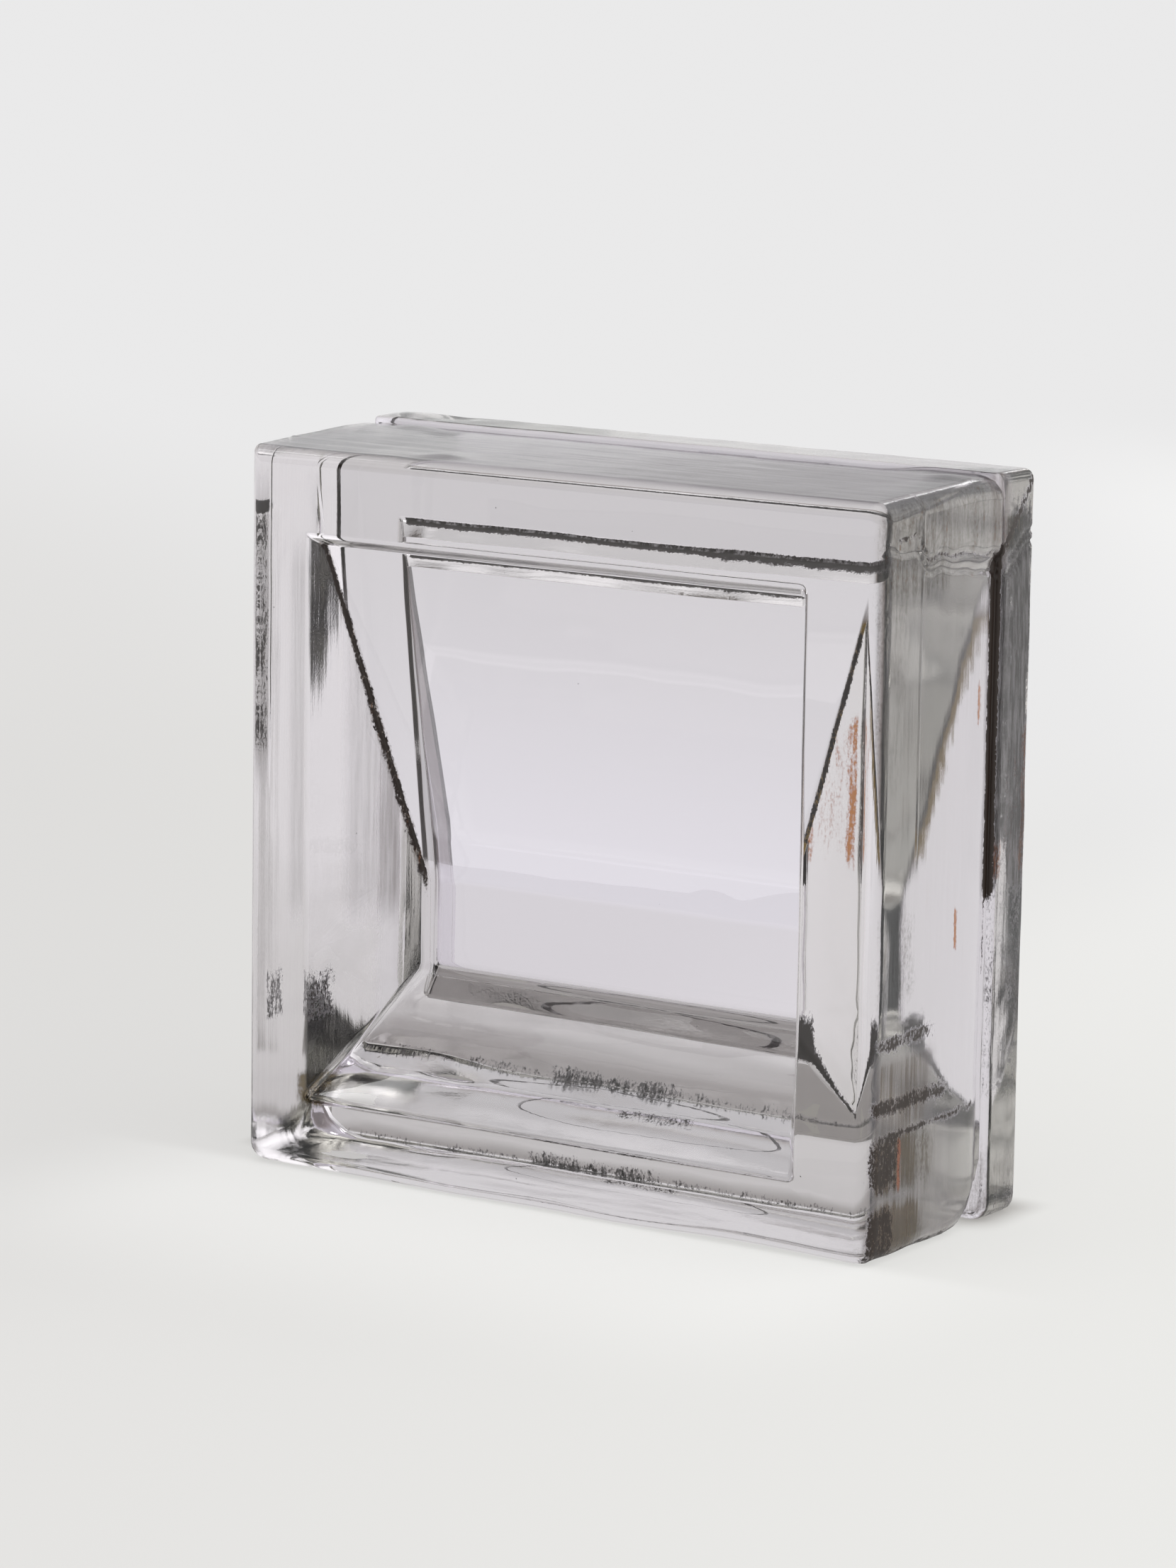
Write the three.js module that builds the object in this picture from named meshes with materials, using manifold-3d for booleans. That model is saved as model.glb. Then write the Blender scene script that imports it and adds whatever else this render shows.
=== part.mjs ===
// Pressed glass building block: a square block of clear lilac glass with a keying collar round
// its back edge and a deep prism-shaped recess in its front and in its back, with a thin web
// of glass between them.
// Millimetres. X is across, Y is through the block from front (-Y) to back (+Y), Z is up.
// The origin is on the floor, under the middle of the block.
import * as THREE from "three";
import Module from "manifold-3d";
import { mergeVertices } from "three/addons/utils/BufferGeometryUtils.js";

// Outer block
const WIDTH = 145;
const HEIGHT = 145;
const THICKNESS = 55;
const SIDE_DRAFT = 0.9; // how much the front face is set in at each side
const TOP_DRAFT = 1.8; // how much the front face is set in at the top
const CORNER_R = 3.6; // the four edges that run front to back
const FRONT_EDGE_R = 3; // rounding round the front face

// Collar round the back, and the groove that keys the block into its joint
const COLLAR = 11.5; // thickness of the collar
const COLLAR_EDGE_R = 1.4;
const GROOVE = 2.2; // width of the groove's floor
const GROOVE_DEPTH = 1.5;
const GROOVE_DEPTH_TOP = 0.8; // shallower along the top
const SHOULDER = 12; // length over which the body rounds down into the groove
const SHOULDER_FOOT_R = 11; // rounding of the body's two lower corners at the groove

// Prism recesses, one open at the front and one at the back, facing away from each other.
// They differ in their heads and strips only. Borders of their mouths are measured from the
// block's full size.
const BORDER_LEFT = 15.2;
const BORDER_RIGHT = 17.5;
const BORDER_TOP = 18.5;
const BORDER_BOTTOM = 14.7;
const WEB = 5.6; // glass left between the two recesses where they are deepest
const STRIP_HEIGHT = 19; // upright strip at full depth, between the sloped pane and the sill
const BACK_STRIP_HEIGHT = 28;
const HEAD_DEPTH = 3.3; // short sloped wall between the mouth's top edge and the pane
const BACK_HEAD_DEPTH = 5;
const HEAD_SLOPE = THREE.MathUtils.degToRad(31);
const SILL_SLOPE = THREE.MathUtils.degToRad(43.5);
const CHEEK_SLOPE = THREE.MathUtils.degToRad(25.5);
const VALLEY_R = 1.2; // rounding inside a recess
const MOUTH_R = 0.8; // rounding of a recess's outer edge

// Fineness of the rounded stretches
const CORNER_STEPS = 4;
const EDGE_STEPS = 4;
const SHOULDER_STEPS = 7;
const CUT_PAST = 2; // how far a cutter runs past the face that it opens

const QUARTER = Math.PI / 2;
const RECESS_DEPTH = (THICKNESS - WEB) / 2;
const FULL_FRAME = { left: -WIDTH / 2, right: WIDTH / 2, bottom: 0, top: HEIGHT };

// A frame made smaller by the same amount on every side.
function inset(frame, by) {
  return {
    left: frame.left + by,
    right: frame.right - by,
    bottom: frame.bottom + by,
    top: frame.top - by,
  };
}

// One closed ring of points: a rectangle with round corners, upright at depth y. Its two lower
// corners may have a rounding of their own.
function ring(y, frame, radius, foot = radius) {
  const { left, right, bottom, top } = frame;
  const outline = new THREE.Shape();
  outline.absarc(right - foot, bottom + foot, foot, -QUARTER, 0);
  outline.absarc(right - radius, top - radius, radius, 0, QUARTER);
  outline.absarc(left + radius, top - radius, radius, QUARTER, 2 * QUARTER);
  outline.absarc(left + foot, bottom + foot, foot, 2 * QUARTER, 3 * QUARTER);
  return outline.getPoints(CORNER_STEPS).map((p) => new THREE.Vector3(p.x, y, p.y));
}

// A closed skin over rings that follow each other from front to back.
function loft(rings) {
  const count = rings[0].length;
  const points = rings.flat();
  const faces = [];
  for (let i = 0; i + 1 < rings.length; i++) {
    for (let j = 0; j < count; j++) {
      const here = i * count + j;
      const next = i * count + ((j + 1) % count);
      faces.push(here, here + count, next + count);
      faces.push(here, next + count, next);
    }
  }
  const frontCentre = points.length;
  points.push(centreOf(rings[0]));
  const backCentre = points.length;
  points.push(centreOf(rings[rings.length - 1]));
  const lastRing = (rings.length - 1) * count;
  for (let j = 0; j < count; j++) {
    const next = (j + 1) % count;
    faces.push(frontCentre, j, next);
    faces.push(backCentre, lastRing + next, lastRing + j);
  }
  const skin = new THREE.BufferGeometry().setFromPoints(points);
  skin.setIndex(faces);
  return skin;
}

function centreOf(points) {
  const sum = new THREE.Vector3();
  points.forEach((p) => sum.add(p));
  return sum.divideScalar(points.length);
}

// Where the drafted body's sides are at depth y, before its edges are rounded.
function bodyFrame(y) {
  const toBack = 1 - y / THICKNESS;
  return {
    left: FULL_FRAME.left + SIDE_DRAFT * toBack,
    right: FULL_FRAME.right - SIDE_DRAFT * toBack,
    bottom: FULL_FRAME.bottom,
    top: FULL_FRAME.top - TOP_DRAFT * toBack,
  };
}

// The body's sides where they have fallen towards the groove by a share of its depth.
function shoulderFrame(y, fall) {
  const sunk = inset(bodyFrame(y), GROOVE_DEPTH * fall);
  sunk.top = bodyFrame(y).top - GROOVE_DEPTH_TOP * fall;
  return sunk;
}

// The block without its recesses: round front edge, straight body, shoulder, groove, collar.
function outerBlock() {
  const collarFront = THICKNESS - COLLAR;
  const grooveFront = collarFront - GROOVE;
  const shoulderFront = grooveFront - SHOULDER;
  const rings = [];
  for (let i = 0; i <= EDGE_STEPS; i++) {
    const turn = (QUARTER * i) / EDGE_STEPS;
    const y = FRONT_EDGE_R * (1 - Math.cos(turn));
    const by = FRONT_EDGE_R * (1 - Math.sin(turn));
    rings.push(ring(y, inset(bodyFrame(y), by), CORNER_R - by));
  }
  for (let i = 0; i <= SHOULDER_STEPS; i++) {
    const turn = (QUARTER * i) / SHOULDER_STEPS;
    const y = shoulderFront + SHOULDER * Math.sin(turn);
    const fall = 1 - Math.cos(turn);
    const foot = THREE.MathUtils.lerp(CORNER_R, SHOULDER_FOOT_R, fall);
    rings.push(ring(y, shoulderFrame(y, fall), CORNER_R, foot));
  }
  rings.push(ring(collarFront, shoulderFrame(grooveFront, 1), CORNER_R, SHOULDER_FOOT_R));
  for (let i = 0; i <= EDGE_STEPS; i++) {
    const turn = (QUARTER * i) / EDGE_STEPS;
    const y = collarFront + COLLAR_EDGE_R * (1 - Math.cos(turn));
    const by = COLLAR_EDGE_R * (1 - Math.sin(turn));
    rings.push(ring(y, inset(FULL_FRAME, by), CORNER_R - by));
  }
  for (let i = 0; i <= EDGE_STEPS; i++) {
    const turn = (QUARTER * i) / EDGE_STEPS;
    const y = THICKNESS - COLLAR_EDGE_R * (1 - Math.sin(turn));
    const by = COLLAR_EDGE_R * (1 - Math.cos(turn));
    rings.push(ring(y, inset(FULL_FRAME, by), CORNER_R - by));
  }
  return loft(rings);
}

const FRONT_RECESS = { headDepth: HEAD_DEPTH, stripHeight: STRIP_HEIGHT };
const BACK_RECESS = { headDepth: BACK_HEAD_DEPTH, stripHeight: BACK_STRIP_HEIGHT };

// Where a recess's walls are at a depth below its mouth. Its top is the short head, then the
// sloped pane that runs inward and down to the upright strip.
function recessFrame(recess, depth) {
  const { headDepth, stripHeight } = recess;
  const mouth = {
    left: FULL_FRAME.left + BORDER_LEFT,
    right: FULL_FRAME.right - BORDER_RIGHT,
    bottom: FULL_FRAME.bottom + BORDER_BOTTOM,
    top: FULL_FRAME.top - BORDER_TOP,
  };
  const headTop = mouth.top - headDepth * Math.tan(HEAD_SLOPE);
  const stripTop = mouth.bottom + RECESS_DEPTH * Math.tan(SILL_SLOPE) + stripHeight;
  const alongPane = (depth - headDepth) / (RECESS_DEPTH - headDepth);
  const onHead = mouth.top - depth * Math.tan(HEAD_SLOPE);
  const onPane = THREE.MathUtils.lerp(headTop, stripTop, alongPane);
  return {
    left: mouth.left + depth * Math.tan(CHEEK_SLOPE),
    right: mouth.right - depth * Math.tan(CHEEK_SLOPE),
    bottom: mouth.bottom + depth * Math.tan(SILL_SLOPE),
    top: depth < headDepth ? onHead : onPane,
  };
}

// The air of one recess as rings from its mouth inward: each a depth, a frame and a corner.
function recessRings(recess) {
  const mouth = recessFrame(recess, 0);
  const rings = [[-CUT_PAST, inset(mouth, -MOUTH_R), VALLEY_R + MOUTH_R]];
  for (let i = 0; i <= EDGE_STEPS; i++) {
    const turn = (QUARTER * i) / EDGE_STEPS;
    const depth = MOUTH_R * (1 - Math.cos(turn));
    const out = MOUTH_R * (1 - Math.sin(turn));
    rings.push([depth, inset(recessFrame(recess, depth), -out), VALLEY_R + out]);
  }
  rings.push([recess.headDepth, recessFrame(recess, recess.headDepth), VALLEY_R]);
  for (let i = 0; i <= EDGE_STEPS; i++) {
    const turn = (QUARTER * i) / EDGE_STEPS;
    const depth = RECESS_DEPTH - VALLEY_R * (1 - Math.sin(turn));
    const by = VALLEY_R * (1 - Math.cos(turn));
    rings.push([depth, inset(recessFrame(recess, depth), by), VALLEY_R * 1.5 - by]);
  }
  return rings;
}

function frontRecess() {
  const inward = recessRings(FRONT_RECESS);
  return loft(inward.map(([depth, frame, radius]) => ring(depth, frame, radius)));
}

function backRecess() {
  const outward = recessRings(BACK_RECESS).reverse();
  return loft(outward.map(([depth, frame, radius]) => ring(THICKNESS - depth, frame, radius)));
}

const wasm = await Module();
wasm.setup();

function toSolid(geometry) {
  const merged = mergeVertices(geometry, 1e-5);
  return new wasm.Manifold(
    new wasm.Mesh({
      numProp: 3,
      vertProperties: merged.attributes.position.array,
      triVerts: new Uint32Array(merged.index.array),
    }),
  );
}

function toGeometry(solid) {
  const mesh = solid.getMesh();
  const geometry = new THREE.BufferGeometry();
  geometry.setAttribute("position", new THREE.BufferAttribute(mesh.vertProperties, 3));
  geometry.setIndex(new THREE.BufferAttribute(mesh.triVerts, 1));
  geometry.computeVertexNormals();
  return geometry;
}

const glass = new THREE.MeshStandardMaterial({
  name: "lilac_glass",
  color: 0xd8d2d9,
  roughness: 0.04,
  metalness: 0,
  transparent: true,
  opacity: 0.4,
});

const solid = toSolid(outerBlock())
  .subtract(toSolid(frontRecess()))
  .subtract(toSolid(backRecess()));
const block = new THREE.Mesh(toGeometry(solid), glass);
block.name = "glass_block";
block.position.y = -THICKNESS / 2;

const part = new THREE.Group();
part.add(block);

export default part;
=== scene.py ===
import math
from functools import partial

import bmesh
import bpy
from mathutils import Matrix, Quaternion, Vector, noise


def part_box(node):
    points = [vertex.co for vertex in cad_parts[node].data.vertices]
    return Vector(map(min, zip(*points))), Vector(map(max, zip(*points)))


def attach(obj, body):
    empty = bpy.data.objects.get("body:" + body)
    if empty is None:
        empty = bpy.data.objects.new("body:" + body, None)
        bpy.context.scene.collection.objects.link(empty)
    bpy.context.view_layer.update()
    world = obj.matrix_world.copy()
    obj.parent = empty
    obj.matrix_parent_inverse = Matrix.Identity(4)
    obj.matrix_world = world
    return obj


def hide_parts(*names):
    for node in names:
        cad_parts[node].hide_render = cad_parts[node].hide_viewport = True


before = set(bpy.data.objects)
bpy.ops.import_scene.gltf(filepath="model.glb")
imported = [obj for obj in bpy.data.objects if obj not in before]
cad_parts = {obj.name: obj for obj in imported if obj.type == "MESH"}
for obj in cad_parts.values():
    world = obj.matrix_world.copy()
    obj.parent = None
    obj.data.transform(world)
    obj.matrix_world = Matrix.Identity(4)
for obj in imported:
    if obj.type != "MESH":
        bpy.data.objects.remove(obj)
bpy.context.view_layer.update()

# The pressed glass block is one casting, so it is one piece. It is modelled as a tube of
# upright loops that starts at the web in the front recess, runs out over the front border,
# back along the sides, over the collar and down the back recess to the other side of the web.
# Lengths are in metres. X is across, Y is from front to back, Z is up from the floor.
MM = 0.001

block_low, block_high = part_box("glass_block")
FULL = {
    "left": block_low.x,
    "right": block_high.x,
    "bottom": block_low.z,
    "top": block_high.z,
}
FRONT = block_low.y
BACK = block_high.y
THICKNESS = BACK - FRONT
HALF_WIDTH = (FULL["right"] - FULL["left"]) / 2

SIDE_DRAFT = 0.9 * MM
TOP_DRAFT = 1.8 * MM
CORNER_R = 3.6 * MM
FRONT_EDGE_R = 3.0 * MM

COLLAR = 11.5 * MM
COLLAR_EDGE_R = 1.4 * MM
BACK_EDGE_R = 0.6 * MM
COLLAR_CORNER_R = 2.2 * MM  # upper corners of the collar
LEFT_SHARPER = 0.3  # the upper left corner has this share of the right one's radius
SEAM_Y = -13.4 * MM  # mould seam on the upright sides
SEAM_HALF = 0.5 * MM  # half its width
GROOVE = 2.2 * MM
GROOVE_DEPTH = 1.5 * MM
GROOVE_DEPTH_TOP = 0.8 * MM
SHOULDER = 12.0 * MM
SHOULDER_FOOT_R = 11.0 * MM
COLLAR_FRONT = BACK - COLLAR
GROOVE_FRONT = COLLAR_FRONT - GROOVE
SHOULDER_FRONT = GROOVE_FRONT - SHOULDER

BORDER = {"left": 15.2 * MM, "right": 17.5 * MM, "top": 18.5 * MM, "bottom": 14.7 * MM}
WEB = 5.6 * MM
FRONT_RECESS = {"head_depth": 3.3 * MM, "strip_height": 19.0 * MM}
BACK_RECESS = {"head_depth": 5.0 * MM, "strip_height": 28.0 * MM}
HEAD_SLOPE = math.tan(math.radians(31))
SILL_SLOPE = math.tan(math.radians(43.5))
CHEEK_SLOPE = math.tan(math.radians(25.5))
VALLEY_R = 1.2 * MM
VALLEY_CORNER = 1.5  # a recess's deepest corners have this share of VALLEY_R
MOUTH_R = 0.8 * MM
RECESS_DEPTH = (THICKNESS - WEB) / 2

SIDE_POINTS = 96  # points of a loop along each side
CORNER_POINTS = 5  # and round each corner
EDGE_LOOPS = 5  # loops round a rounded edge
STEP = 1.8 * MM  # greatest distance between two loops on a flat stretch
SIDE_STEP = 1.0 * MM  # and on the outside
WRINKLED = (0.86, 0.96, 0.24)  # stretch of the upright sides with more points, and its share
TIGHT = 0.15 * MM  # distance of the extra points that keep a flat stretch flat up to its ends


# --- Camera -----------------------------------------------------------------------------------
CAMERA_AZIMUTH = math.radians(32.68)
CAMERA_ELEVATION = math.radians(10.11)
CAMERA_ROLL = math.radians(0.915)
CAMERA_DISTANCE = 1.1335
CAMERA_AIM = Vector((-0.0094, 0.0, 0.0790))
CAMERA_LENS = 133.46


def add_camera():
    data = bpy.data.cameras.new("camera")
    data.lens = CAMERA_LENS
    camera = bpy.data.objects.new("camera", data)
    bpy.context.scene.collection.objects.link(camera)
    level = math.cos(CAMERA_ELEVATION)
    towards = Vector(
        (
            math.sin(CAMERA_AZIMUTH) * level,
            -math.cos(CAMERA_AZIMUTH) * level,
            math.sin(CAMERA_ELEVATION),
        )
    )
    camera.location = CAMERA_AIM + towards * CAMERA_DISTANCE
    camera.rotation_mode = "QUATERNION"
    upright = (-towards).to_track_quat("-Z", "Y")
    camera.rotation_quaternion = upright @ Quaternion((0, 0, 1), CAMERA_ROLL)
    bpy.context.scene.camera = camera


# --- Nodes ------------------------------------------------------------------------------------
def colour(hex_text):
    """An sRGB hex colour as linear RGBA."""
    channels = [int(hex_text[i : i + 2], 16) / 255 for i in (1, 3, 5)]
    linear = [c / 12.92 if c <= 0.04045 else ((c + 0.055) / 1.055) ** 2.4 for c in channels]
    return (*linear, 1.0)


def add_node(tree, kind, settings=None, *inputs, **named):
    """Adds a node. Settings are its own properties. Inputs are values, or nodes and outputs to
    link: by their place among the sockets in use, or by name."""
    node = tree.nodes.new("ShaderNode" + kind)
    for name, value in (settings or {}).items():
        setattr(node, name, value)
    pairs = list(zip([socket for socket in node.inputs if socket.enabled], inputs))
    pairs += [(node.inputs[name.replace("_", " ")], value) for name, value in named.items()]
    for socket, value in pairs:
        if isinstance(value, bpy.types.Node):
            value = next(output for output in value.outputs if output.enabled)
        if isinstance(value, bpy.types.NodeSocket):
            tree.links.new(value, socket)
        else:
            socket.default_value = value
    return node


def new_tree(owner):
    owner.use_nodes = True
    owner.node_tree.nodes.clear()
    return owner.node_tree


# Settings that many nodes share.
OPERATIONS = "ADD SUBTRACT MULTIPLY DIVIDE MAXIMUM ABSOLUTE SQRT LESS_THAN DOT_PRODUCT"
ADD, SUBTRACT, MULTIPLY, DIVIDE, MAXIMUM, ABSOLUTE, SQRT, LESS_THAN, DOT_PRODUCT = (
    {"operation": name} for name in OPERATIONS.split()
)
SMOOTH = {"interpolation_type": "SMOOTHSTEP"}
COLOURS = {"data_type": "RGBA"}


# --- Block ------------------------------------------------------------------------------------
def inset(sides, by):
    return {
        "left": sides["left"] + by,
        "right": sides["right"] - by,
        "bottom": sides["bottom"] + by,
        "top": sides["top"] - by,
    }


def body_sides(y):
    """Where the drafted body's sides are, before its edges are rounded."""
    to_back = 1 - (y - FRONT) / THICKNESS
    return {
        "left": FULL["left"] + SIDE_DRAFT * to_back,
        "right": FULL["right"] - SIDE_DRAFT * to_back,
        "bottom": FULL["bottom"],
        "top": FULL["top"] - TOP_DRAFT * to_back,
    }


def mouth_sides():
    return {
        "left": FULL["left"] + BORDER["left"],
        "right": FULL["right"] - BORDER["right"],
        "bottom": FULL["bottom"] + BORDER["bottom"],
        "top": FULL["top"] - BORDER["top"],
    }


def shoulder_sides(y, fall):
    """The body's sides where they have fallen towards the groove by a share of its depth."""
    sunk = inset(body_sides(y), GROOVE_DEPTH * fall)
    sunk["top"] = body_sides(y)["top"] - GROOVE_DEPTH_TOP * fall
    return sunk


def recess_sides(recess, depth):
    """Where a recess's walls are at a depth below its mouth."""
    mouth = mouth_sides()
    head_depth = recess["head_depth"]
    head_top = mouth["top"] - head_depth * HEAD_SLOPE
    strip_top = mouth["bottom"] + RECESS_DEPTH * SILL_SLOPE + recess["strip_height"]
    along_pane = (depth - head_depth) / (RECESS_DEPTH - head_depth)
    on_head = mouth["top"] - depth * HEAD_SLOPE
    on_pane = head_top + (strip_top - head_top) * along_pane
    return {
        "left": mouth["left"] + depth * CHEEK_SLOPE,
        "right": mouth["right"] - depth * CHEEK_SLOPE,
        "bottom": mouth["bottom"] + depth * SILL_SLOPE,
        "top": on_head if depth < head_depth else on_pane,
    }


def quarter(i):
    """Cosine and sine of the i-th step of a quarter turn round an edge."""
    turn = math.pi / 2 * i / EDGE_LOOPS
    return math.cos(turn), math.sin(turn)


def flat_steps(length, count):
    """Shares of a flat stretch: even, but for the first and last, which are TIGHT to its ends."""
    tight = min(TIGHT / length, 0.25)
    return [tight + (1 - 2 * tight) * i / (count - 1) for i in range(count)]


def upright_steps(length):
    """Shares of an upright side from its foot to its head, closer together where it wrinkles."""
    start, end, share = WRINKLED
    places = []
    for t in flat_steps(length, SIDE_POINTS):
        before = (1 - share) * start / (1 - end + start)
        if t < before:
            places.append(t * start / before)
        elif t < before + share:
            places.append(start + (t - before) * (end - start) / share)
        else:
            places.append(end + (t - before - share) * (1 - end) / (1 - before - share))
    return places


def stretch(first, last, step=STEP):
    """Loops between two loops on flat walls, no further apart than step, with the last one."""
    y0, sides0, radius0, foot0 = first
    y1, sides1, radius1, foot1 = last
    reach = max(abs(sides1[k] - sides0[k]) for k in sides0)
    length = math.hypot(y1 - y0, reach)
    loops = []
    for t in [*flat_steps(length, max(2, math.ceil(length / step))), 1.0]:
        sides = {k: sides0[k] + (sides1[k] - sides0[k]) * t for k in sides0}
        radius = radius0 + (radius1 - radius0) * t
        loops.append((y0 + (y1 - y0) * t, sides, radius, foot0 + (foot1 - foot0) * t))
    return loops


def recess_loops(recess):
    """One recess as loops of depth, sides and corner radii, from the web out to its mouth."""
    loops = []
    for i in range(EDGE_LOOPS + 1):
        cos, sin = quarter(i)
        depth = RECESS_DEPTH - VALLEY_R * (1 - cos)
        by = VALLEY_R * (1 - sin)
        radius = VALLEY_R * VALLEY_CORNER - by
        loops.append((depth, inset(recess_sides(recess, depth), by), radius, radius))
    head_depth = recess["head_depth"]
    at_head = (head_depth, recess_sides(recess, head_depth), VALLEY_R, VALLEY_R)
    loops += stretch(loops[-1], at_head)
    at_mouth = (MOUTH_R, recess_sides(recess, MOUTH_R), VALLEY_R, VALLEY_R)
    loops += stretch(at_head, at_mouth)
    for i in range(1, EDGE_LOOPS + 1):
        cos, sin = quarter(i)
        depth = MOUTH_R * (1 - sin)
        out = MOUTH_R * (1 - cos)
        radius = VALLEY_R + out
        loops.append((depth, inset(recess_sides(recess, depth), -out), radius, radius))
    return loops


def side_loops():
    """The outside as loops from the front border's outer edge to the back border's."""
    loops = []
    for i in range(EDGE_LOOPS + 1):
        cos, sin = quarter(i)
        by = FRONT_EDGE_R * (1 - sin)
        y = FRONT + FRONT_EDGE_R * (1 - cos)
        loops.append((y, inset(body_sides(y), by), CORNER_R - by, CORNER_R - by))
    at_shoulder = (SHOULDER_FRONT, body_sides(SHOULDER_FRONT), CORNER_R, CORNER_R)
    for y in (SEAM_Y - SEAM_HALF, SEAM_Y, SEAM_Y + SEAM_HALF):
        at_seam = (y, body_sides(y), CORNER_R, CORNER_R)
        loops += [at_seam] if y == SEAM_Y else stretch(loops[-1], at_seam, SIDE_STEP)
    loops += stretch(loops[-1], at_shoulder, SIDE_STEP)
    shoulder_steps = math.ceil(SHOULDER / SIDE_STEP)
    for i in range(1, shoulder_steps + 1):
        turn = math.pi / 2 * i / shoulder_steps
        y = SHOULDER_FRONT + SHOULDER * math.sin(turn)
        fall = 1 - math.cos(turn)
        foot = CORNER_R + (SHOULDER_FOOT_R - CORNER_R) * fall
        loops.append((y, shoulder_sides(y, fall), CORNER_R, foot))
    at_collar = (COLLAR_FRONT, shoulder_sides(GROOVE_FRONT, 1), CORNER_R, SHOULDER_FOOT_R)
    loops += stretch(loops[-1], at_collar, SIDE_STEP)
    for i in range(EDGE_LOOPS + 1):
        cos, sin = quarter(i)
        by = COLLAR_EDGE_R * (1 - sin)
        y = COLLAR_FRONT + COLLAR_EDGE_R * (1 - cos)
        loops.append((y, inset(FULL, by), COLLAR_CORNER_R - by, CORNER_R - by))
    back_edge = BACK - BACK_EDGE_R
    loops += stretch(loops[-1], (back_edge, FULL, COLLAR_CORNER_R, CORNER_R), SIDE_STEP)
    for i in range(1, EDGE_LOOPS + 1):
        cos, sin = quarter(i)
        by = BACK_EDGE_R * (1 - cos)
        y = back_edge + BACK_EDGE_R * sin
        loops.append((y, inset(FULL, by), COLLAR_CORNER_R - by, CORNER_R - by))
    return loops


def block_loops():
    front = [(FRONT + depth, *rest) for depth, *rest in recess_loops(FRONT_RECESS)]
    back = [(BACK - depth, *rest) for depth, *rest in reversed(recess_loops(BACK_RECESS))]
    sides = side_loops()
    across_front = stretch(front[-1], sides[0])
    across_back = stretch(sides[-1], back[0])
    return front + across_front + sides[1:] + across_back + back[1:]


def loop_points(y, sides, radius, foot):
    """The points of one loop: an upright rectangle with round corners, its lower two by foot."""
    left = radius * LEFT_SHARPER
    centres = (
        (sides["right"] - foot, sides["bottom"] + foot, foot, -90),
        (sides["right"] - radius, sides["top"] - radius, radius, 0),
        (sides["left"] + left, sides["top"] - left, left, 90),
        (sides["left"] + foot, sides["bottom"] + foot, foot, 180),
    )
    corners = []
    for x, z, r, start in centres:
        corner = []
        for i in range(CORNER_POINTS):
            turn = math.radians(start + 90 * i / (CORNER_POINTS - 1))
            corner.append(Vector((x + r * math.cos(turn), y, z + r * math.sin(turn))))
        corners.append(corner)
    points = []
    for i, (corner, following) in enumerate(zip(corners, corners[1:] + corners[:1])):
        points += corner
        length = (following[0] - corner[-1]).length
        steps = flat_steps(length, SIDE_POINTS) if i % 2 else upright_steps(length)
        if i == 2:
            steps = [1 - t for t in reversed(steps)]
        points += [corner[-1].lerp(following[0], t) for t in steps]
    return points


# --- Wear and dirt ----------------------------------------------------------------------------
# What weather() writes at every point for the glass material to read. 1 is a full share.
SHARES = ("mould_worn", "top_face", "film", "dirt", "rust", "stain")

# Zones, by the distances over which they come in or die out.
OUTSIDE_REACH = (2.2 * MM, 4.5 * MM)  # the worn outside, in from the sides, top and foot
OUTSIDE_START = (0.4 * MM, 3.0 * MM)  # and behind the front face
UPRIGHT_REACH = (2.5 * MM, 4.0 * MM)  # the upright sides
TOP_REACH = (2.5 * MM, 4.0 * MM)  # the top
BACK_BRIGHT = 1.0 * MM  # the back face is bright again from this far in front of it
COLLAR_BLEND = 1.0 * MM  # the film ends this far to each side of the collar's front
BORDER_LEAST = 16 * MM  # the recesses are further in from the sides than this

# Waves of the pressed faces and of the worn outside: wavelength and height.
WAVES = ((30 * MM, 0.12 * MM), (11 * MM, 0.04 * MM))
SIDE_WAVES = ((9 * MM, 0.08 * MM), (4.5 * MM, 0.03 * MM))
SIDE_WAVES_PLACE = Vector((7, 0, 0))  # moved on in the noise, so that they don't follow WAVES
# Waves that run along a face: wavelength across and along them, height, and place in the noise.
DRAG_WAVES = (2.6 * MM, 60 * MM, 0.05 * MM, 5.5)
FOOT_WAVES = (9 * MM, 60 * MM, 0.25 * MM, 3.7)
UNDER_WAVES = (13 * MM, 26 * MM, 0.45 * MM, 6.4)
SILL_WAVES = (5 * MM, 45 * MM, 0.10 * MM, 8.2)
SILL_SPAN = (14 * MM, 42 * MM)  # heights between which the recesses' sills lie
FOOT_SPAN = (0.5 * MM, 4.0 * MM)  # heights over which the foot's waves die out
SEAM_HEIGHT = 0.12 * MM
SEAM_START = (70 * MM, 80 * MM)  # the seam shows above these heights
FILL_HEIGHT = 130 * MM  # the groove's upright ends are filled with glass above this
FILL_RISE = {"left": 14 * MM, "right": 2 * MM}  # height over which the filling comes in
FILL_SIDES = (69 * MM, 70 * MM)  # the groove's upright ends lie past these
TOP_FILL = (44 * MM, 58 * MM)  # along the top the filling comes in between these
TOP_FILL_END = (71 * MM, 72.5 * MM)  # and ends between these
TOP_FILL_REACH = (2 * MM, 3 * MM)  # how far down from the top it goes
FILLED = (0.94, 0.9)  # how full the groove is there, at the sides and along the top
# The wrinkle where glass ran together round the upper end of a side: its line by y and z in mm,
# how far below that line each fold of it is in mm, and a fold's depth and half its width.
FOLDS = ((-27, 136.8), (-16, 136.0), (-11, 132.2), (13, 130.0), (16, 128.5), (28, 133.5))
FOLD_GAPS = (0, 2.6)
FOLD_DEPTH = 0.44 * MM
FOLD_HALF = 0.9 * MM
FOLD_WANDER = (20 * MM, 3.5 * MM, 1.1 * MM)  # how it strays: length across, along, and height
FOLD_APART = 30 * MM  # moves each fold on in that noise, so that they stray each in its own way
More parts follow.
